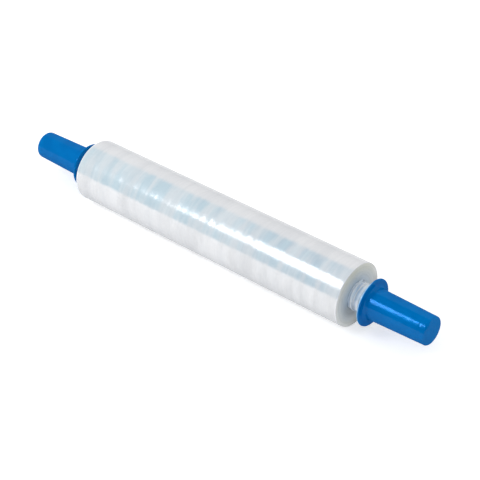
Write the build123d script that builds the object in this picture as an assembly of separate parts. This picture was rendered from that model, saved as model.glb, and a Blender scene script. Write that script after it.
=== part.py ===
from build123d import *
import math
import os

# A hand stretch wrap roll: film wound on a long core, with a loose brake sleeve over each end.
# The roll turns inside the two sleeves while the film pays out, and a squeeze on them brakes it.
#
# Millimetres, +Z up. The roll lies on its flat spot with its axis along X. The origin is the
# middle of that flat spot, halfway along the film.

# Film
FILM_WIDTH = 500.0
FILM_DIAMETER = 96.0
FILM_EDGE_ROUNDING = 0.8
# How far the turns are pressed in where the roll lies.
REST_FLAT_DEPTH = 0.4

# Core
CORE_DIAMETER = 38.6
CORE_WALL = 2.8
CORE_RIM_CHAMFER = 0.4

# Both sleeves, from the flange's face to the closed end
HANDLE_LENGTH = 100.2
HANDLE_WALL = 1.6
HANDLE_DRAFT_DEG = 1.3
CLOSED_END_WALL = 2.2
CLOSED_END_CROWN = 0.5
CLOSED_END_ROUNDING = 3.0
CLOSED_END_INNER_ROUNDING = 0.8
FLANGE_DIAMETER = 70.6
FLANGE_THICKNESS = 3.6
FLANGE_ROOT_FILLET = 5.0
MOUTH_CHAMFER = 0.6

# Fits
# Between the core and the narrow end of a sleeve's bore, on the radius.
RUNNING_CLEARANCE = 0.35
# Between each end of the core and the closed end that it stops against.
END_PLAY = 0.5
# Bare core between the film's face and each sleeve's flange.
RIGHT_GAP = 24.6
LEFT_GAP = 17.0

FILM_RADIUS = FILM_DIAMETER / 2
CORE_RADIUS = CORE_DIAMETER / 2
AXIS_HEIGHT = FILM_RADIUS - REST_FLAT_DEPTH
RIGHT_FLANGE_X = FILM_WIDTH / 2 + RIGHT_GAP
LEFT_FLANGE_X = -(FILM_WIDTH / 2 + LEFT_GAP)
# How far the core reaches into a sleeve, past the flange's face.
CORE_REACH = HANDLE_LENGTH - CLOSED_END_WALL - END_PLAY


def corners_at(sketch, *places):
    """The sketch's corners that lie at these (x, y) places."""
    wanted = [Vector(x, y, 0) for x, y in places]
    return [
        corner
        for corner in sketch.vertices()
        if any((Vector(*corner) - place).length < 1e-4 for place in wanted)
    ]


def turned(section):
    """The section, drawn with x along the axis and y as the radius, turned about the X axis."""
    return revolve(section, axis=Axis.X, revolution_arc=360)


def film_roll():
    """All the film's turns as one ring, cut off flat where it rests."""
    half = FILM_WIDTH / 2
    section = make_face(
        Polyline(
            (-half, CORE_RADIUS),
            (-half, FILM_RADIUS),
            (half, FILM_RADIUS),
            (half, CORE_RADIUS),
            close=True,
        )
    )
    edges = corners_at(section, (-half, FILM_RADIUS), (half, FILM_RADIUS))
    roll = Pos(0, 0, AXIS_HEIGHT) * turned(fillet(edges, FILM_EDGE_ROUNDING))
    floor = Box(
        2 * FILM_WIDTH,
        2 * FILM_DIAMETER,
        FILM_RADIUS,
        align=(Align.CENTER, Align.CENTER, Align.MAX),
    )
    return roll - floor


def core():
    """The tube that the film is wound on, long enough to stop against both closed ends."""
    left, right = LEFT_FLANGE_X - CORE_REACH, RIGHT_FLANGE_X + CORE_REACH
    bore_radius = CORE_RADIUS - CORE_WALL
    section = make_face(
        Polyline(
            (left, bore_radius),
            (left, CORE_RADIUS),
            (right, CORE_RADIUS),
            (right, bore_radius),
            close=True,
        )
    )
    rims = corners_at(section, (left, CORE_RADIUS), (right, CORE_RADIUS))
    return Pos(0, 0, AXIS_HEIGHT) * turned(chamfer(rims, CORE_RIM_CHAMFER))


def handle():
    """A sleeve with its flange's face at x = 0 and its closed end towards +X."""
    slope = math.tan(math.radians(HANDLE_DRAFT_DEG))
    bore_depth = HANDLE_LENGTH - CLOSED_END_WALL
    bore_end_radius = CORE_RADIUS + RUNNING_CLEARANCE
    mouth_radius = bore_end_radius + bore_depth * slope
    barrel_foot = (FLANGE_THICKNESS, mouth_radius + HANDLE_WALL - FLANGE_THICKNESS * slope)
    shoulder_x = HANDLE_LENGTH - CLOSED_END_CROWN
    shoulder = (shoulder_x, mouth_radius + HANDLE_WALL - shoulder_x * slope)
    rim_radius = FLANGE_THICKNESS / 2
    rim_foot = FLANGE_DIAMETER / 2 - rim_radius
    mouth = (0, mouth_radius)
    bore_corner = (bore_depth, bore_end_radius)
    # The fillet stops short of the flange's rounded rim.
    flange_width = rim_foot - barrel_foot[1]
    root_fillet = min(FLANGE_ROOT_FILLET, 0.9 * flange_width)

    # The crown is an arc that is square to the axis where it crosses it.
    crown_radius = (shoulder[1] ** 2 + CLOSED_END_CROWN**2) / (2 * CLOSED_END_CROWN)
    half_angle = math.asin(shoulder[1] / crown_radius) / 2
    crown_middle = (
        HANDLE_LENGTH - crown_radius * (1 - math.cos(half_angle)),
        crown_radius * math.sin(half_angle),
    )
    section = make_face(
        [
            Line(mouth, (0, rim_foot)),
            ThreePointArc(
                (0, rim_foot),
                (rim_radius, FLANGE_DIAMETER / 2),
                (FLANGE_THICKNESS, rim_foot),
            ),
            Line((FLANGE_THICKNESS, rim_foot), barrel_foot),
            Line(barrel_foot, shoulder),
            ThreePointArc(shoulder, crown_middle, (HANDLE_LENGTH, 0)),
            Polyline((HANDLE_LENGTH, 0), (bore_depth, 0), bore_corner, mouth),
        ]
    )
    section = fillet(corners_at(section, barrel_foot), root_fillet)
    section = fillet(corners_at(section, shoulder), CLOSED_END_ROUNDING)
    section = fillet(corners_at(section, bore_corner), CLOSED_END_INNER_ROUNDING)
    section = chamfer(corners_at(section, mouth), MOUTH_CHAMFER)
    return turned(section)


def right_handle():
    """The sleeve on the +X end of the core."""
    return Pos(RIGHT_FLANGE_X, 0, AXIS_HEIGHT) * handle()


def left_handle():
    """The same sleeve turned end for end, on the -X end of the core."""
    return Pos(LEFT_FLANGE_X, 0, AXIS_HEIGHT) * Rot(0, 0, 180) * handle()


os.makedirs("parts", exist_ok=True)
for make in (film_roll, core, right_handle, left_handle):
    export_step(make(), f"parts/{make.__name__}.step")
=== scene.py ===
import logging
import math
from collections.abc import Callable
from dataclasses import dataclass
from enum import Enum

import bpy
import numpy as np
from mathutils import Matrix, Vector


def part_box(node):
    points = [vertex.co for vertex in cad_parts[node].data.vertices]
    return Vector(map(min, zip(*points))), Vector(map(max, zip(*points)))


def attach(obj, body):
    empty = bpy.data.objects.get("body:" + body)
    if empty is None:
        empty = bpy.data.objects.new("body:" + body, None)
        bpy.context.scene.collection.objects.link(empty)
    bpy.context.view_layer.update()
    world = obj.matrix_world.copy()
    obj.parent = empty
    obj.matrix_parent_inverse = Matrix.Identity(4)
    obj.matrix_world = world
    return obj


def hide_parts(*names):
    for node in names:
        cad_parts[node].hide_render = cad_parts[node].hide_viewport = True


# A hand stretch wrap roll: clear film wound on a long core, with a loose blue brake sleeve over
# each end of it. The roll lies on its side along X. Metres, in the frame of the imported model.

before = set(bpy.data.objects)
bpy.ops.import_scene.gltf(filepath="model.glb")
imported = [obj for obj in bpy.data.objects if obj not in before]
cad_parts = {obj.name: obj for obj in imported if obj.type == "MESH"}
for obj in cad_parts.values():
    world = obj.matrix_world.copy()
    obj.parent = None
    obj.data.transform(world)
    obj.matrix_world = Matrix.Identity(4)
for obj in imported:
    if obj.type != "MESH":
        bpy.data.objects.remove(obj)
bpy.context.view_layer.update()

MM = 0.001
TURN = 2 * math.pi
LOG = logging.getLogger("stretch_wrap_roll")

Colour = tuple[float, float, float]


class End(Enum):
    """Which end of the roll a piece belongs to: the sign of its side of X."""

    RIGHT = 1
    LEFT = -1


# ---------------------------------------------------------------- shader building


class Signal:
    """A node's output that adds Math nodes when it is used in an expression."""

    def __init__(self, graph: "Graph", socket: bpy.types.NodeSocket) -> None:
        """Wraps one output socket of the graph's tree."""
        self.graph = graph
        self.socket = socket

    def _math(self, operation: str, first: object, second: object) -> "Signal":
        """Adds one Math node.

        Args:
            operation: The Math node's operation.
            first: The upper value, a number or a Signal.
            second: The lower value, a number or a Signal.

        Returns:
            The node's result.
        """
        values = {"Value": first, "Value_001": second}
        return self.graph.node("ShaderNodeMath", {"operation": operation}, values, "Value")

    def __add__(self, other: object) -> "Signal":
        """self + other."""
        return self._math("ADD", self, other)

    __radd__ = __add__

    def __sub__(self, other: object) -> "Signal":
        """self - other."""
        return self._math("SUBTRACT", self, other)

    def __rsub__(self, other: object) -> "Signal":
        """other - self."""
        return self._math("SUBTRACT", other, self)

    def __mul__(self, other: object) -> "Signal":
        """self * other."""
        return self._math("MULTIPLY", self, other)

    __rmul__ = __mul__

    def __pow__(self, other: object) -> "Signal":
        """self ** other."""
        return self._math("POWER", self, other)

    def __rpow__(self, other: object) -> "Signal":
        """other ** self."""
        return self._math("POWER", other, self)

    def turn_to(self, other: object) -> "Signal":
        """The angle whose tangent is self over other, in radians."""
        return self._math("ARCTAN2", self, other)

    def fraction(self) -> "Signal":
        """The part of self after the point."""
        return self._math("FRACT", self, 0.0)

    def larger(self, other: object) -> "Signal":
        """The larger of self and other."""
        return self._math("MAXIMUM", self, other)


class Graph:
    """A node tree, with short ways to add what this object's finishes are made of."""

    def __init__(self, tree: bpy.types.NodeTree) -> None:
        """Empties the tree and keeps it."""
        tree.nodes.clear()
        self.tree = tree

    def node(self, kind: str, settings: dict, values: dict, output: str | None = None) -> Signal:
        """Adds any node.

        Args:
            kind: The node's type name.
            settings: Its own properties, set before its sockets.
            values: Numbers, vectors, colours or Signals by the identifier or name of an input.
            output: The identifier or name of the output wanted, or None for the first.

        Returns:
            That output.
        """
        made = self.tree.nodes.new(kind)
        for name, value in settings.items():
            setattr(made, name, value)
        for name, value in values.items():
            socket = self._find(made.inputs, name)
            if isinstance(value, Signal):
                self.tree.links.new(value.socket, socket)
            else:
                socket.default_value = value
        return Signal(self, self._find(made.outputs, output) if output else made.outputs[0])

    @staticmethod
    def _find(sockets: object, name: str) -> bpy.types.NodeSocket:
        """The socket with that identifier, or else with that name."""
        by_identifier = [socket for socket in sockets if socket.identifier == name]
        return (by_identifier or [socket for socket in sockets if socket.name == name])[0]

    def place(self) -> Signal:
        """The point on the piece, in metres, in the piece's own coordinates."""
        return self.node("ShaderNodeTexCoord", {}, {}, "Object")

    def split(self, vector: Signal) -> tuple[Signal, Signal, Signal]:
        """The three numbers of a vector."""
        first = self.node("ShaderNodeSeparateXYZ", {}, {"Vector": vector}, "X")
        outputs = first.socket.node.outputs
        return first, Signal(self, outputs["Y"]), Signal(self, outputs["Z"])

    def join(self, x: object, y: object, z: object) -> Signal:
        """A vector of three numbers or Signals."""
        return self.node("ShaderNodeCombineXYZ", {}, {"X": x, "Y": y, "Z": z}, "Vector")

    def stretch(self, vector: Signal, factors: tuple[float, float, float]) -> Signal:
        """The vector with each of its numbers times its factor."""
        values = {"Vector": vector, "Vector_001": factors}
        return self.node("ShaderNodeVectorMath", {"operation": "MULTIPLY"}, values, "Vector")

    def noise(self, vector: Signal, detail: float = 2.0, roughness: float = 0.5) -> Signal:
        """Soft noise from 0 to 1, one feature for about each unit of the vector."""
        values = {"Vector": vector, "Scale": 1.0, "Detail": detail, "Roughness": roughness}
        return self.node("ShaderNodeTexNoise", {}, values, "Fac")

    def step(self, signal: Signal, low: float, high: float) -> Signal:
        """0 below low, 1 above high and smooth between them; falls where low is above high."""
        values = {"Value": signal, "From Min": low, "From Max": high}
        return self.node("ShaderNodeMapRange", {"interpolation_type": "SMOOTHSTEP"}, values, "Result")

    def tint(self, factor: object, first: object, second: object) -> Signal:
        """The first colour where factor is 0, the second where it is 1."""
        colours = {
            name: value if isinstance(value, Signal) else (*value, 1.0)
            for name, value in (("A_Color", first), ("B_Color", second))
        }
        values = {"Factor_Float": factor, **colours}
        return self.node("ShaderNodeMix", {"data_type": "RGBA"}, values, "Result_Color")

    def from_axis(self, y: Signal, up: Signal) -> Signal:
        """The distance from the roll's axis."""
        return (y * y + up * up) ** 0.5

    def bump(self, height_mm: Signal, strength: float = 1.0) -> Signal:
        """The surface's normal with a relief given in millimetres."""
        values = {"Strength": strength, "Distance": MM, "Height": height_mm}
        return self.node("ShaderNodeBump", {}, values, "Normal")


def surface(name: str, make_shader: Callable[[Graph], Signal]) -> bpy.types.Material:
    """A material whose surface is one shader.

    Args:
        name: The material's name.
        make_shader: A function from a Graph to the shader's output.

    Returns:
        The material.
    """
    material = bpy.data.materials.new(name)
    material.use_nodes = True
    graph = Graph(material.node_tree)
    out = material.node_tree.nodes.new("ShaderNodeOutputMaterial")
    material.node_tree.links.new(make_shader(graph).socket, out.inputs["Surface"])
    return material


# ---------------------------------------------------------------- finishes


@dataclass(frozen=True)
class WoundFilmFinish:
    """The round side of the roll: many clear turns with fine lines around them, and a painted highlight
    along each rounded end.
    """

    start: float
    end: float
    body: Colour = (0.70, 0.715, 0.74)
    bright: Colour = (0.76, 0.77, 0.79)
    # The colour of the painted highlight along the rounded ends.
    end_highlight: Colour = (0.95, 0.96, 0.97)
    grazing: Colour = (0.50, 0.50, 0.52)
    metallic: float = 0.10
    roughness: float = 0.19
    left_end_highlight: float = 0.8
    right_end_highlight: float = 0.2
    end_highlight_width: float = 1.0 * MM
    end_highlight_fade: float = 3.0 * MM

    def shader(self, graph: Graph) -> Signal:
        """The film's shader in that graph."""
        place = graph.place()
        lines = graph.noise(graph.stretch(place, (900.0, 9.0, 9.0)), 3.0, 0.6)
        bands = graph.noise(graph.stretch(place, (55.0, 4.0, 4.0)), 2.0)
        mottle = graph.noise(graph.stretch(place, (240.0, 70.0, 70.0)), 3.0, 0.6)
        patches = graph.step(graph.noise(graph.stretch(place, (60.0, 14.0, 14.0)), 2.0), 0.34, 0.66)
        shade = graph.step(0.55 * bands + 0.25 * lines + 0.2 * mottle, 0.36, 0.64)
        relief = 0.020 * bands + 0.008 * lines + 0.026 * mottle
        x, _, _ = graph.split(place)
        # Painted highlight: the base colour turns pale along the rounded edges at both ends, more at the
        # left end.
        rim = self.left_end_highlight * graph.step(x, self.start + self.end_highlight_fade, self.start + self.end_highlight_width)
        rim = rim + self.right_end_highlight * graph.step(x, self.end - self.end_highlight_fade, self.end - self.end_highlight_width)
        values = {
            "Base Color": graph.tint(rim, graph.tint(shade, self.body, self.bright), self.end_highlight),
            "Metallic": self.metallic + 0.22 * patches,
            "Roughness": self.roughness + 0.10 * (mottle - 0.4),
            "IOR": 1.0,
            "Specular Tint": (*self.grazing, 1.0),
            "Coat Weight": 0.25,
            "Coat Roughness": 0.13,
            "Coat IOR": 2.5,
            "Normal": graph.bump(relief),
        }
        return graph.node("ShaderNodeBsdfPrincipled", {}, values, "BSDF")

    def material(self) -> bpy.types.Material:
        """The film's material."""
        return surface("wound_film", self.shader)


@dataclass(frozen=True)
class FilmEdgeFinish:
    """The roll's end face: the cut edges of the turns, ring upon ring, with light and shade painted into
    its colour.
    """

    axis_height: float
    inner_radius: float
    outer_radius: float
    inner: Colour = (0.62, 0.71, 0.75)
    middle: Colour = (0.79, 0.79, 0.73)
    # rim: the pale colour of light painted as glowing through the film near the rim; also used for the
    # fine pale rings.
    rim: Colour = (0.92, 0.92, 0.87)
    shadow: Colour = (0.34, 0.40, 0.44)
    # The colour of the painted light towards the top of the face, warmer and darker.
    painted_top_light: Colour = (0.64, 0.65, 0.53)
    # The colour of the painted shade low down and under the core.
    painted_shade: Colour = (0.34, 0.34, 0.30)
    gap: Colour = (0.36, 0.38, 0.35)

    def shader(self, graph: Graph) -> Signal:
        """The end face's shader in that graph."""
        place = graph.place()
        _, y, z = graph.split(place)
        up = z - self.axis_height
        radius = graph.from_axis(y, up)
        fine = graph.noise(graph.join(radius * 5200.0, y * 22.0, up * 22.0), 3.0, 0.6)
        coarse = graph.noise(graph.join(radius * 700.0, y * 9.0, up * 9.0), 3.0, 0.6)
        patches = graph.noise(graph.stretch(place, (0.0, 45.0, 45.0)), 2.0)
        inner, outer = self.inner_radius, self.outer_radius
        uneven = radius + 3.0 * MM * (patches - 0.5)
        outwards = graph.step(radius + 4.0 * MM * (coarse - 0.5), inner, outer)
        shaded = graph.step(uneven, 1.30 * inner, 1.04 * inner)
        rim_glow_mask = graph.step(uneven, 0.86 * outer, 0.93 * outer)
        # Painted shade and light: darker and bluer towards the core, lighter towards the rim, where
        # light comes in through the roll's side.
        colour = graph.tint(outwards, self.inner, self.middle)
        # Painted light: warmer and darker towards the top, where less light comes through the roll's
        # side.
        top_light_mask = graph.step(up, 0.1 * outer, outer) * outwards
        colour = graph.tint(0.8 * top_light_mask, colour, self.painted_top_light)
        colour = graph.tint(0.65 * shaded, colour, self.shadow)
        # Painted light: a pale band glowing through the film near the rim, fainter towards the top.
        top = graph.step(up, 0.3 * outer, 0.9 * outer)
        colour = graph.tint(rim_glow_mask * (0.45 + 0.5 * patches) * (1 - 0.7 * top), colour, self.rim)
        # Painted shade: darker low down on the far side of the face, and below the core beside the
        # flange.
        low = graph.step(y - up, 0.35 * outer, 1.35 * outer)
        colour = graph.tint(0.7 * low, colour, self.painted_shade)
        below = graph.step(up, 0.1 * outer, -0.4 * outer) * graph.step(radius, 0.82 * outer, 0.5 * outer)
        colour = graph.tint(0.65 * below, colour, self.painted_shade)
        colour = graph.tint(graph.step(fine, 0.58, 0.75) * 0.22, colour, self.rim)
        colour = graph.tint(graph.step(coarse, 0.48, 0.30) * 0.18, colour, self.gap)
        values = {
            "Base Color": colour,
            "Roughness": 0.42 + 0.2 * (coarse - 0.5),
            "IOR": 1.5,
            "Normal": graph.bump(0.04 * fine + 0.09 * coarse, 0.8),
        }
        return graph.node("ShaderNodeBsdfPrincipled", {}, values, "BSDF")

    def material(self) -> bpy.types.Material:
        """The end face's material."""
        return surface("film_edges", self.shader)


@dataclass(frozen=True)
class CreasedFilmFinish:
    """Loose turns of film drawn tight round the core, creased and cloudy, with painted glints in fine
    flecks.
    """

    cloudy: Colour = (0.52, 0.61, 0.72)
    pale: Colour = (0.92, 0.94, 0.96)
    # glossy: the colour of the painted glints.
    glossy: Colour = (0.93, 0.95, 0.96)
    metallic: float = 0.14

    def shader(self, graph: Graph) -> Signal:
        """The creased film's shader in that graph."""
        place = graph.place()
        folds = graph.noise(graph.stretch(place, (330.0, 22.0, 22.0)), 3.0, 0.6)
        fine = graph.noise(graph.stretch(place, (1700.0, 110.0, 110.0)), 2.0)
        colour = graph.tint(graph.step(folds, 0.38, 0.62), self.cloudy, self.pale)
        values = {
            # Painted glints: fine flecks of the film turned near white.
            "Base Color": graph.tint(graph.step(fine, 0.55, 0.75) * 0.35, colour, self.glossy),
            "Metallic": self.metallic + 0.08 * (folds - 0.5),
            "Roughness": 0.20 + 0.16 * (fine - 0.4),
            "IOR": 1.5,
            "Coat Weight": 0.4,
            "Coat Roughness": 0.08,
            "Normal": graph.bump(0.10 * folds + 0.02 * fine),
        }
        return graph.node("ShaderNodeBsdfPrincipled", {}, values, "BSDF")

    def material(self) -> bpy.types.Material:
        """The creased film's material."""
        return surface("creased_film", self.shader)


@dataclass(frozen=True)
class CoreBoardFinish:
    """Spiral wound paper tube, with the butt of each ply showing as a faint helical seam."""

    axis_height: float
    pitch: float = 0.11
    board: Colour = (0.62, 0.58, 0.50)
    pale: Colour = (0.72, 0.69, 0.62)
    seam: Colour = (0.40, 0.36, 0.30)

    def shader(self, graph: Graph) -> Signal:
        """The board's shader in that graph."""
        place = graph.place()
        x, y, z = graph.split(place)
        angle = (z - self.axis_height).turn_to(y)
        along = ((1 / TURN) * angle + (1 / self.pitch) * x).fraction()
        seam = graph.step(along, 0.015, 0.0) + graph.step(along, 0.985, 1.0)
        fibres = graph.noise(graph.stretch(place, (900.0, 300.0, 300.0)), 4.0, 0.65)
        clouds = graph.noise(graph.stretch(place, (60.0, 60.0, 60.0)), 2.0)
        colour = graph.tint(0.5 * fibres + 0.5 * clouds, self.board, self.pale)
        values = {
            "Base Color": graph.tint(0.7 * seam, colour, self.seam),
            "Roughness": 0.72 + 0.2 * (fibres - 0.5),
            "Normal": graph.bump(0.03 * fibres - 0.10 * seam),
        }
        return graph.node("ShaderNodeBsdfPrincipled", {}, values, "BSDF")

    def material(self) -> bpy.types.Material:
        """The board's material."""
        return surface("core_board", self.shader)


@dataclass(frozen=True)
class BluePlasticFinish:
    """Glossy thin moulded plastic, with fine handling marks, and a paler edge on the flange's film side
    that is a painted reflection.
    """

    towards: int
    flange_x: float
    flange_radius: float
    axis_height: float
    painted_rim_reflection: float
    body: Colour = (0.0, 0.165, 0.50)
    deep: Colour = (0.0, 0.147, 0.46)
    glint: Colour = (0.05, 0.55, 0.80)
    # edge: the colour of the painted reflection on the flange rim.
    edge: Colour = (0.45, 0.76, 1.0)

    def shader(self, graph: Graph) -> Signal:
        """The plastic's shader in that graph."""
        place = graph.place()
        clouds = graph.noise(graph.stretch(place, (38.0, 38.0, 38.0)), 2.0)
        drag = graph.noise(graph.stretch(place, (22.0, 900.0, 900.0)), 2.0)
        grain = graph.noise(graph.stretch(place, (2200.0, 2200.0, 2200.0)), 2.0)
        scratches = graph.noise(graph.stretch(place, (150.0, 420.0, 420.0)), 4.0, 0.7)
        scuffs = graph.step(scratches, 0.60, 0.74)
        x, y, z = graph.split(place)
        up = z - self.axis_height
        radius = graph.from_axis(y, up)
        from_face = self.towards * (x - self.flange_x)
        # Painted reflection: the front half of the flange's rim, on its film side, is painted paler
        # blue.
        rim = graph.step(radius, self.flange_radius - 2.0 * MM, self.flange_radius - 0.6 * MM)
        rim = rim * graph.step(from_face, 2.5 * MM, 1.3 * MM)
        rim = rim * graph.step(y, 0.1 * self.flange_radius, -0.3 * self.flange_radius)
        colour = graph.tint(graph.step(clouds, 0.35, 0.65), self.deep, self.body)
        values = {
            "Base Color": graph.tint(self.painted_rim_reflection * rim, colour, self.edge),
            "Roughness": 0.12 + 0.06 * (clouds - 0.5) + 0.05 * (drag - 0.5) + 0.07 * scuffs,
            "Metallic": 0.058,
            "IOR": 1.0,
            "Coat Weight": 0.03,
            "Coat Roughness": 0.07,
            "Coat IOR": 3.0,
            "Specular Tint": (*self.glint, 1.0),
            "Normal": graph.bump(0.004 * drag + 0.0025 * grain + 0.03 * clouds),
        }
        return graph.node("ShaderNodeBsdfPrincipled", {}, values, "BSDF")

    def material(self) -> bpy.types.Material:
        """The plastic's material."""
        return surface("blue_plastic", self.shader)


@dataclass(frozen=True)
class FloorFinish:
    """White studio floor that shows as white and keeps the roll's soft shadow."""

    paint: Colour = (0.86, 0.86, 0.86)
    dust: Colour = (0.80, 0.80, 0.81)
    lift: float = 0.44
    gloss_lift: float = 0.30

    def shader(self, graph: Graph) -> Signal:
        """The floor's shader in that graph."""
        place = graph.place()
        grain = graph.noise(graph.stretch(place, (40.0, 40.0, 40.0)), 3.0)
        values = {"Color": graph.tint(0.04 * grain, self.paint, self.dust), "Roughness": 0.6}
        painted = graph.node("ShaderNodeBsdfDiffuse", {}, values, "BSDF")
        glossy = graph.node("ShaderNodeLightPath", {}, {}, "Is Glossy Ray")
        strength = self.lift * _seen_directly(graph) + self.gloss_lift * glossy
        glow = graph.node("ShaderNodeEmission", {}, {"Strength": strength}, "Emission")
        values = {"Shader": painted, "Shader_001": glow}
        return graph.node("ShaderNodeAddShader", {}, values, "Shader")

    def material(self) -> bpy.types.Material:
        """The floor's material."""
        return surface("studio_floor", self.shader)


def _seen_directly(graph: Graph) -> Signal:
    """1 for what the camera sees itself, in a gloss or through something clear."""
    camera = graph.node("ShaderNodeLightPath", {}, {}, "Is Camera Ray")
    outputs = camera.socket.node.outputs
    glossy = Signal(graph, outputs["Is Glossy Ray"])
    return camera.larger(glossy).larger(Signal(graph, outputs["Is Transmission Ray"]))


# ---------------------------------------------------------------- mesh building


def revolved(
    name: str,
    along: np.ndarray,
    radius: np.ndarray,
    axis_height: float,
    poles: tuple[float, float] | None = None,
) -> bpy.types.Object:
    """A closed solid turned about the roll's axis.

    Args:
        name: The object's name.
        along: x of each ring, or of each point as (rings, points around).
        radius: The radius in the same form. One of the two has every point.
        axis_height: z of the axis.
        poles: x of the axis points that close the first and last rings. With none, the last ring
            joins the first.

    Returns:
        The object, smooth shaded, with its faces outwards.
    """
    radius = np.asarray(radius, float)
    rings, around = radius.shape
    along = np.broadcast_to(np.asarray(along, float).reshape(rings, -1), (rings, around))
    angle = TURN * np.arange(around) / around
    points = np.stack(
        [along, -radius * np.cos(angle), axis_height + radius * np.sin(angle)], axis=-1
    ).reshape(-1, 3)
    pairs = rings if poles is None else rings - 1
    ring, place = np.meshgrid(np.arange(pairs), np.arange(around), indexing="ij")
    after, beside = (ring + 1) % rings, (place + 1) % around
    quads = np.stack(
        [
            ring * around + place,
            ring * around + beside,
            after * around + beside,
            after * around + place,
        ],
        axis=-1,
    ).reshape(-1, 4)
    first_arm, second_arm, third_arm = (points[quads[:, corner]] - points[0] for corner in range(3))
    flip = np.einsum("ij,ij->i", first_arm, np.cross(second_arm, third_arm)).sum() < 0
    faces = (quads[:, ::-1] if flip else quads).tolist()
    if poles is not None:
        points = np.vstack([points, [[x, 0.0, axis_height] for x in poles]])
        first, last = len(points) - 2, len(points) - 1
        top = (rings - 1) * around
        for here in range(around):
            nearby = (here + 1) % around
            cap = [(here, first, nearby), (top + nearby, last, top + here)]
            faces += [face[::-1] if flip else face for face in cap]
    mesh = bpy.data.meshes.new(name)
    mesh.from_pydata(points.tolist(), [], faces)
    mesh.shade_smooth()
    piece = bpy.data.objects.new(name, mesh)
    bpy.context.scene.collection.objects.link(piece)
    return piece


def waves(
    rng: np.random.Generator,
    along: np.ndarray,
    angle: np.ndarray,
    lengths: tuple[float, float],
    most_around: int,
    count: int = 24,
) -> np.ndarray:
    """Gentle random waves over a grid of places along and around the axis.

    Args:
        rng: The source of the waves' sizes and phases.
        along: The places along, as a column.
        angle: The angles around, as a row.
        lengths: The shortest and longest wave along.
        most_around: The most whole waves in a turn.
        count: How many waves are added up.

    Returns:
        The height at each place, with a spread of about 1.
    """
    total = np.zeros(np.broadcast(along, angle).shape)
    for _ in range(count):
        length = math.exp(rng.uniform(math.log(lengths[0]), math.log(lengths[1])))
        turns = rng.integers(0, most_around + 1) * rng.choice([-1, 1])
        total += np.sin(TURN * along / length + turns * angle + rng.uniform(0, TURN))
    return total / math.sqrt(count / 2)


def outline(corners: list[tuple[float, float, float]], steps: int = 8) -> np.ndarray:
    """A line through corners, each rounded off by its own radius.

    Args:
        corners: x, radius from the axis and rounding of each corner.
        steps: How many pieces each rounding has.

    Returns:
        The points as rows of x and radius.
    """
    points: list[np.ndarray] = []
    for index, (x, r, rounding) in enumerate(corners):
        corner = np.array([x, r])
        if rounding == 0:
            points.append(corner)
            continue
        before = np.array(corners[index - 1][:2]) - corner
        after = np.array(corners[index + 1][:2]) - corner
        before /= np.linalg.norm(before)
        after /= np.linalg.norm(after)
        half = math.acos(float(np.clip(before @ after, -1, 1))) / 2
        middle = (before + after) / np.linalg.norm(before + after)
        centre = corner + middle * rounding / math.sin(half)
        start = corner + before * rounding / math.tan(half) - centre
        end = corner + after * rounding / math.tan(half) - centre
        sweep = math.pi - 2 * half
        for step in np.linspace(0, 1, steps + 1):
            blend = np.sin((1 - step) * sweep) * start + np.sin(step * sweep) * end
            points.append(centre + blend / math.sin(sweep))
    return np.array(points)


def divided(points: np.ndarray, longest: float) -> np.ndarray:
    """The same line with no piece longer than that."""
    parts = [points[:1]]
    for start, end in zip(points[:-1], points[1:]):
        count = max(1, math.ceil(np.linalg.norm(end - start) / longest))
        share = (np.arange(1, count + 1) / count)[:, None]
        parts.append(start + share * (end - start))
    return np.vstack(parts)


# ---------------------------------------------------------------- the object


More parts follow.
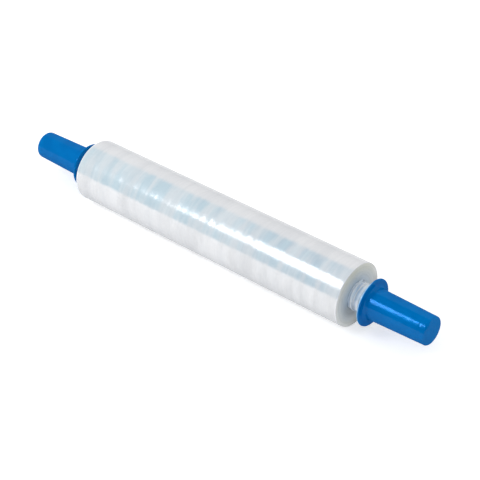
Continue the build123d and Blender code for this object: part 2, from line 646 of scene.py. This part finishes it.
@dataclass
class WoundFilm:
    """All the film's turns: a smooth round side, two stepped end faces and a flat resting spot."""

    edge: float = 0.8 * MM
    around: int = 220
    along_side: int = 326
    across_face: int = 46
    waviness: float = 0.042 * MM
    puckers: float = 0.022 * MM
    gauge_bands: float = 0.014 * MM
    face_relief: float = 0.09 * MM
    face_fade: float = 1.5 * MM
    tail_step: float = 0.07 * MM
    tail_angle: float = math.radians(205)
    core_gap: float = 0.05 * MM
    seed: int = 11

    def __post_init__(self) -> None:
        """Reads the film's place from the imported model."""
        low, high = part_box("film_roll")
        core_low, core_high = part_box("core")
        self.start, self.end = low.x, high.x
        self.outer = (high.y - low.y) / 2
        self.axis_height = high.z - self.outer
        self.core_radius = (core_high.y - core_low.y) / 2
        self.inner = self.core_radius + self.core_gap
        self.floor = low.z

    def build(self) -> bpy.types.Object:
        """Makes the film.

        Returns:
            The piece, riding with the roll.
        """
        rng = np.random.default_rng(self.seed)
        rim = self.outer - self.edge
        face = np.linspace(self.inner, rim, self.across_face, endpoint=False)
        bend = np.linspace(0, math.pi / 2, 6)
        edge_x = self.start + self.edge * (1 - np.sin(bend))
        edge_r = rim + self.edge * np.cos(bend)
        side = np.linspace(self.start + self.edge, self.end - self.edge, self.along_side)[1:-1]
        along = np.concatenate(
            [np.full(len(face), self.start), edge_x[::-1], side, self.start + self.end - edge_x]
            + [np.full(len(face), self.end)]
        )
        radius = np.concatenate(
            [face, edge_r[::-1], np.full(len(side), self.outer), edge_r, face[::-1]]
        )
        angle = TURN * np.arange(self.around) / self.around
        along, radius = along[:, None], radius[:, None]

        outwards = np.clip((radius - self.inner) / (self.outer - self.inner), 0, 1) ** 2
        swell = self.waviness * waves(rng, along, angle, (0.016, 0.07), 5)
        looser_left = 0.4 + 0.6 * np.clip((0.05 - along) / 0.2, 0, 1)
        swell += self.puckers * looser_left * waves(rng, along, angle, (0.006, 0.022), 9, 36)
        swell += self.gauge_bands * waves(rng, along, 0 * angle, (0.006, 0.03), 0)
        tail = self.tail_angle + 0.02 * waves(rng, along, 0 * angle, (0.05, 0.2), 0)
        since = ((angle - tail) % TURN) / TURN
        blend = np.clip(since * self.around / 2.5, 0, 1)
        swell += self.tail_step * ((1 - since) * blend - 0.5)

        on_face = 1 - np.clip((radius - rim + self.face_fade) / self.face_fade, 0, 1)
        steps = self.face_relief * waves(rng, radius, angle, (0.0018, 0.009), 1, 30)
        steps += 0.5 * self.face_relief * waves(rng, radius, angle, (0.02, 0.05), 3, 8)
        middle = (self.start + self.end) / 2
        away = np.where(along < middle, 1.0, -1.0)
        inwards = on_face * np.clip(steps + 1.2 * self.face_relief, 0, None)

        piece = revolved(
            "stretch_film", along + away * inwards, radius + outwards * swell, self.axis_height
        )
        self._press_flat(piece)
        self._dress(piece, len(face))
        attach(piece, "roll")
        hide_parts("film_roll")
        return piece

    def _press_flat(self, piece: bpy.types.Object) -> None:
        """Presses the turns flat where the roll lies."""
        count = len(piece.data.vertices)
        places = np.empty(count * 3)
        piece.data.vertices.foreach_get("co", places)
        places = places.reshape(-1, 3)
        places[:, 2] = np.maximum(places[:, 2], self.floor)
        piece.data.vertices.foreach_set("co", places.ravel())
        piece.data.update()

    def _dress(self, piece: bpy.types.Object, face_rings: int) -> None:
        """Gives the side one finish and the end faces and the bore the other."""
        piece.data.materials.append(WoundFilmFinish(self.start, self.end).material())
        ends = FilmEdgeFinish(self.axis_height, self.inner, self.outer)
        piece.data.materials.append(ends.material())
        faces = len(piece.data.polygons)
        ring = np.arange(faces) // self.around
        last = faces // self.around
        ends_here = (ring < face_rings + 1) | (ring >= last - face_rings - 2)
        piece.data.polygons.foreach_set("material_index", ends_here.astype(np.int32))


@dataclass
class CoreWrap:
    """Loose turns of film that stay on the bare core beside the roll's end face."""

    end: End
    reach: float
    folds: int
    seed: int
    lowest: float = 0.25 * MM
    swell: float = 1.5 * MM
    fold_height: float = 1.0 * MM
    wrinkle: float = 0.10 * MM
    ragged_edge: float = 0.4 * MM
    tucked_in: float = 0.6 * MM
    around: int = 200
    along_rings: int = 90

    def build(self, film: WoundFilm) -> bpy.types.Object:
        """Makes the wrap.

        Args:
            film: The wound film whose face it starts from.

        Returns:
            The piece, riding with the roll.
        """
        rng = np.random.default_rng(self.seed)
        angle = TURN * np.arange(self.around) / self.around
        share = np.linspace(0, 1, self.along_rings)[:, None]
        edge = self.reach + self.ragged_edge * waves(rng, 0 * share[:1], angle, (1, 2), 4, 8)
        along = share * edge
        height = self.lowest + self.swell * (1 - share) ** 1.2
        height = height + self.wrinkle * waves(rng, along, angle, (0.002, 0.008), 3)
        for _ in range(self.folds):
            place = rng.uniform(0.06, 0.95) * self.reach
            lean = rng.normal(0, 2.2 * MM) * np.sin(angle + rng.uniform(0, TURN))
            lean = lean + rng.normal(0, 0.6 * MM) * np.sin(3 * angle + rng.uniform(0, TURN))
            width = rng.uniform(0.6, 2.4) * MM
            strength = 0.55 + 0.45 * np.sin(rng.integers(1, 4) * angle + rng.uniform(0, TURN))
            ridge = np.exp(-(((along - place - lean) / width) ** 2))
            height = height + rng.uniform(0.3, 1.0) * self.fold_height * strength * ridge
        height = np.clip(height, 0.05 * MM, 2.4 * MM) * np.clip((1 - share) * 14, 0.12, 1)
        core = film.core_radius
        face = film.end if self.end is End.RIGHT else film.start
        outer_x = face + self.end.value * (along - self.tucked_in)
        rings_x = np.vstack([outer_x, outer_x[::-1]])
        rings_r = np.vstack([core + height, np.full_like(height, core + 0.01 * MM)])
        name = f"core_wrap_{self.end.name.lower()}"
        piece = revolved(name, rings_x, rings_r, film.axis_height)
        piece.data.materials.append(CreasedFilmFinish().material())
        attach(piece, "roll")
        return piece


@dataclass
class FilmTuft:
    """A small torn point of film that stands up beside the right end face."""

    angle: float = math.radians(82)
    length: float = 10 * MM
    width: float = 7.5 * MM
    thickness: float = 0.12 * MM
    lift: float = 5.0 * MM
    start: float = 3.2 * MM
    foot: float = 0.9 * MM
    tip_half_width: float = 0.15 * MM
    crease: float = 0.35 * MM
    across: int = 17
    along: int = 25
    seed: int = 5

    def build(self, film: WoundFilm) -> bpy.types.Object:
        """Makes the tuft.

        Args:
            film: The wound film whose face it stands beside.

        Returns:
            The piece, riding with the roll.
        """
        core = film.inner
        rng = np.random.default_rng(self.seed)
        share = np.linspace(0, 1, self.along)[:, None]
        side = np.linspace(-1, 1, self.across)[None, :]
        half_width = 0.5 * self.width * (1 - share) ** 0.8 + self.tip_half_width
        crease = self.crease * waves(rng, 3 * MM * side, 2 * share, (1.2 * MM, 4 * MM), 2, 6)
        x = film.end + self.start + side * half_width + 0.1 * self.length * share**2
        turned = self.angle + share * self.length / (core + self.lift)
        height = self.foot + self.lift * np.sin(share * math.pi / 2) ** 2
        height = height + crease * share * (1 - side**2)
        turned = np.broadcast_to(turned, x.shape)
        sheets = []
        for extra in (0.0, self.thickness):
            radius = core + height + extra
            z = film.axis_height + radius * np.sin(turned)
            sheets.append(np.stack([x, -radius * np.cos(turned), z], -1).reshape(-1, 3))
        points = np.concatenate(sheets)
        size = self.along * self.across
        faces = []
        for row in range(self.along - 1):
            for column in range(self.across - 1):
                one = row * self.across + column
                quad = (one, one + 1, one + 1 + self.across, one + self.across)
                faces += [quad, tuple(size + corner for corner in reversed(quad))]
        border = list(range(self.across))
        border += [row * self.across + self.across - 1 for row in range(1, self.along)]
        border += [size - 1 - column for column in range(1, self.across)]
        border += [row * self.across for row in range(self.along - 2, 0, -1)]
        for here, after in zip(border, border[1:] + border[:1]):
            faces.append((after, here, here + size, after + size))
        mesh = bpy.data.meshes.new("film_tuft")
        mesh.from_pydata(points.tolist(), [], faces)
        mesh.shade_smooth()
        piece = bpy.data.objects.new("film_tuft", mesh)
        bpy.context.scene.collection.objects.link(piece)
        piece.data.materials.append(CreasedFilmFinish().material())
        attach(piece, "roll")
        return piece


@dataclass
class Core:
    """The spiral wound tube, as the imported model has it."""

    def build(self, film: WoundFilm) -> bpy.types.Object:
        """Gives the tube its board finish.

        Args:
            film: The wound film, for the axis.

        Returns:
            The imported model's own core.
        """
        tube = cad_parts["core"]
        board = CoreBoardFinish(film.axis_height).material()
        tube.data.materials.clear()
        tube.data.materials.append(board)
        return tube


@dataclass
class BrakeSleeve:
    """One blue sleeve: a rounded flange, a slightly tapered grip and a gently domed closed end."""

    end: End
    # How strongly the painted reflection on the flange rim shows.
    painted_rim_reflection: float = 0.0
    wall: float = 1.6 * MM
    draft: float = math.radians(1.3)
    clearance: float = 0.35 * MM
    end_wall: float = 2.2 * MM
    crown: float = 0.5 * MM
    end_rounding: float = 3.0 * MM
    inner_rounding: float = 0.8 * MM
    flange: float = 3.6 * MM
    root_fillet: float = 5.0 * MM
    mouth_chamfer: float = 0.6 * MM
    groove_from_end: float = 11.4 * MM
    groove_width: float = 3.8 * MM
    groove_depth: float = 0.16 * MM
    gate_radius: float = 2.6 * MM
    gate_depth: float = 0.25 * MM
    gate_lip: float = 0.25 * MM
    gate_slope: float = 0.3 * MM
    pip_foot: float = 0.9 * MM
    pip_top: float = 0.5 * MM
    pip_height: float = 0.15 * MM
    around: int = 192
    sink: float = 0.012 * MM
    seed: int = 30

    def section(self, length: float, flange_radius: float, core_radius: float) -> np.ndarray:
        """The sleeve's section, from the axis inside the closed end round to the axis outside.

        Args:
            length: From the flange's face to the closed end.
            flange_radius: The flange's outer radius.
            core_radius: The radius of the core that it turns on.

        Returns:
            Rows of the distance from the flange's face and the radius.
        """
        slope = math.tan(self.draft)
        depth = length - self.end_wall
        bore_end = core_radius + self.clearance
        mouth = bore_end + depth * slope
        foot = mouth + self.wall - self.flange * slope
        shoulder_x = length - self.crown
        shoulder = mouth + self.wall - shoulder_x * slope
        rim = self.flange / 2
        corners = [
            (depth, 0.35 * bore_end, 0.0),
            (depth, bore_end, self.inner_rounding),
            (self.mouth_chamfer, mouth - self.mouth_chamfer * slope, 0.0),
            (0.0, mouth + self.mouth_chamfer, 0.0),
            (0.0, flange_radius, rim * 0.999),
            (self.flange, flange_radius, rim * 0.999),
            (self.flange, foot, self.root_fillet),
            (shoulder_x, shoulder, self.end_rounding),
        ]
        for share in (0.78, 0.6, 0.45, 0.3):
            corners.append((length - self.crown * share**2, share * shoulder, 0.0))
        recess = length - self.gate_depth
        corners += [
            (length, self.gate_radius + self.gate_lip, 0.0),
            (length, self.gate_radius, 0.0),
            (recess, self.gate_radius - self.gate_slope, 0.0),
            (recess, self.pip_foot, 0.0),
            (recess + self.pip_height, self.pip_top, 0.0),
        ]
        return divided(outline(corners), 1.0 * MM)

    def build(self, film: WoundFilm) -> bpy.types.Object:
        """Makes the sleeve.

        Args:
            film: The wound film, for the axis and the core.

        Returns:
            The piece, riding on its own body.
        """
        side = self.end.name.lower()
        node = f"{side}_handle"
        low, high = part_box(node)
        length = high.x - low.x
        flange_x = low.x if self.end is End.RIGHT else high.x
        core_radius = film.core_radius
        flange_radius = (high.y - low.y) / 2
        line = self.section(length, flange_radius, core_radius)
        rng = np.random.default_rng(self.seed + self.end.value)
        angle = TURN * np.arange(self.around) / self.around
        along, radius = line[:, :1], line[:, 1:]
        uneven = self.sink * waves(rng, along, angle, (0.012, 0.05), 4)
        outwards = np.clip(radius / core_radius, 0, 1) ** 2
        from_groove = (along - (length - self.groove_from_end)) / self.groove_width
        dip = 0.5 + 0.5 * np.cos(TURN * from_groove)
        groove = np.where(np.abs(from_groove) < 0.5, dip, 0.0)
        bore = core_radius + self.clearance + (length - along) * math.tan(self.draft)
        radius = radius - self.groove_depth * groove * (radius > bore + 0.5 * self.wall)
        x = flange_x + self.end.value * along
        inside = flange_x + self.end.value * (length - self.end_wall)
        outside = flange_x + self.end.value * (length - self.gate_depth + self.pip_height)
        piece = revolved(
            f"brake_sleeve_{side}", x, radius + outwards * uneven, film.axis_height, (inside, outside)
        )
        plastic = BluePlasticFinish(
            self.end.value, flange_x, flange_radius, film.axis_height, self.painted_rim_reflection
        )
        piece.data.materials.append(plastic.material())
        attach(piece, f"{side}_sleeve")
        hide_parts(node)
        return piece


# ---------------------------------------------------------------- studio and camera


@dataclass
class Studio:
    """White floor, a soft lamp high in front on the left, its glint on the plastic, and a pale room."""

    floor_size: float = 40.0
    lamp_place: tuple[float, float, float] = (-0.755, -1.222, 1.39)
    lamp_width: float = 0.69
    lamp_height: float = 0.84
    lamp_watts: float = 8.8
    glint_watts: float = 105.0
    room: Colour = (0.22, 0.70, 0.90)
    room_beyond: Colour = (0.0, 0.34, 0.60)
    white: Colour = (1.0, 1.0, 1.0)
    room_turns: tuple[float, float] = (-0.58, -0.42)
    backdrop_from: float = math.radians(114)
    backdrop_blur: float = math.radians(7)
    floor_gap: float = 0.02 * MM
    ambient: float = 0.86
    dim_side: float = 0.24
    backdrop_gloss: float = 1.05

    def build(self, film: WoundFilm, sleeves: list[bpy.types.Object]) -> None:
        """Makes the floor, the lamps and the room's light.

        Args:
            film: The wound film, which the lamps face.
            sleeves: The glossy plastic that shows the lamp's own brightness.
        """
        self._floor(film)
        self._lamp("soft_lamp", self.lamp_watts, film)
        glint = self._lamp("sleeve_glint", self.glint_watts, film)
        glint.visible_diffuse = False
        plastic = bpy.data.collections.new("glossy_plastic")
        for sleeve in sleeves:
            plastic.objects.link(sleeve)
        glint.light_linking.receiver_collection = plastic
        self._room()

    def _floor(self, film: WoundFilm) -> None:
        """Makes the floor that the roll lies on."""
        half = self.floor_size / 2
        level = film.floor - self.floor_gap
        corners = [(x * half, y * half, level) for x, y in ((-1, -1), (1, -1), (1, 1), (-1, 1))]
        mesh = bpy.data.meshes.new("studio_floor")
        mesh.from_pydata(corners, [], [(0, 1, 2, 3)])
        floor = bpy.data.objects.new("studio_floor", mesh)
        floor.data.materials.append(FloorFinish().material())
        bpy.context.scene.collection.objects.link(floor)

    def _lamp(self, name: str, watts: float, film: WoundFilm) -> bpy.types.Object:
        """Makes a soft lamp of that power, in the lamps' place."""
        light = bpy.data.lights.new(name, "AREA")
        light.shape = "RECTANGLE"
        light.size = self.lamp_width
        light.size_y = self.lamp_height
        light.energy = watts
        lamp = bpy.data.objects.new(name, light)
        place = Vector(self.lamp_place)
        lamp.location = place
        aim = Vector((0, 0, film.axis_height)) - place
        lamp.rotation_euler = aim.to_track_quat("-Z", "Y").to_euler()
        bpy.context.scene.collection.objects.link(lamp)
        return lamp

    def _room(self) -> None:
        """Lights the world evenly. Gloss shows it white behind the roll and pale blue before it."""
        world = bpy.data.worlds.new("studio_room")
        bpy.context.scene.world = world
        world.use_nodes = True
        graph = Graph(world.node_tree)
        way = graph.node("ShaderNodeTexCoord", {}, {}, "Generated")
        x, y, z = graph.split(way)
        angle = z.turn_to(-1.0 * y)
        far, near = self.backdrop_from + self.backdrop_blur, self.backdrop_from - self.backdrop_blur
        before = graph.step(angle, far, near)
        glossy = graph.node("ShaderNodeLightPath", {}, {}, "Is Glossy Ray")
        room = graph.tint(graph.step(x, *self.room_turns), self.room, self.room_beyond)
        colour = graph.tint(glossy * before, self.white, room)
        level = self.ambient * (1 - self.dim_side * graph.step(x, 0.2, 0.9))
        seen = _seen_directly(graph)
        strength = level + seen * (1 - level) + (self.backdrop_gloss - 1) * (glossy * (1 - before))
        values = {"Color": colour, "Strength": strength}
        glow = graph.node("ShaderNodeBackground", {}, values, "Background")
        out = world.node_tree.nodes.new("ShaderNodeOutputWorld")
        world.node_tree.links.new(glow.socket, out.inputs["Surface"])


@dataclass
class ViewingCamera:
    """The camera: which way it stands from the roll, how far, and what it is centred on."""

    azimuth: float = math.radians(40.56)
    elevation: float = math.radians(34.63)
    distance: float = 2.0896
    offset_right: float = 0.02999
    offset_up: float = -0.01722
    lens_mm: float = 107.22
    sensor_mm: float = 36.0

    def build(self, film: WoundFilm) -> bpy.types.Object:
        """Makes the scene's camera.

        Args:
            film: The wound film, whose middle the camera is placed from.

        Returns:
            The camera.
        """
        level = math.cos(self.elevation)
        right = Vector((math.cos(self.azimuth), math.sin(self.azimuth), 0))
        back = Vector((level * right.y, -level * right.x, math.sin(self.elevation)))
        up = back.cross(right)
        middle = Vector((0, 0, film.axis_height))
        place = middle + self.offset_right * right + self.offset_up * up + self.distance * back
        data = bpy.data.cameras.new("camera")
        data.sensor_width = self.sensor_mm
        data.lens = self.lens_mm
        camera = bpy.data.objects.new("camera", data)
        turned = Matrix((right, up, back)).transposed().to_4x4()
        camera.matrix_world = Matrix.Translation(place) @ turned
        bpy.context.scene.collection.objects.link(camera)
        bpy.context.scene.camera = camera
        return camera


def main() -> None:
    """Builds the roll, the studio and the camera, and reports each piece."""
    logging.basicConfig(level=logging.INFO, format="%(name)s: %(message)s")
    bpy.context.scene.view_settings.view_transform = "Standard"
    film = WoundFilm()
    ViewingCamera().build(film)
    pieces = [
        film.build(),
        Core().build(film),
        CoreWrap(End.RIGHT, reach=23.9 * MM, folds=10, seed=3).build(film),
        CoreWrap(End.LEFT, reach=16.3 * MM, folds=7, seed=8).build(film),
        FilmTuft().build(film),
    ]
    sleeves = [
        # Only the right sleeve has the painted reflection on its flange rim.
        BrakeSleeve(End.RIGHT, painted_rim_reflection=0.9).build(film),
        BrakeSleeve(End.LEFT).build(film),
    ]
    Studio().build(film, sleeves)
    for piece in pieces + sleeves:
        LOG.info("%s: %d faces", piece.name, len(piece.data.polygons))
    bpy.context.view_layer.update()


if __name__ == "__main__":
    main()
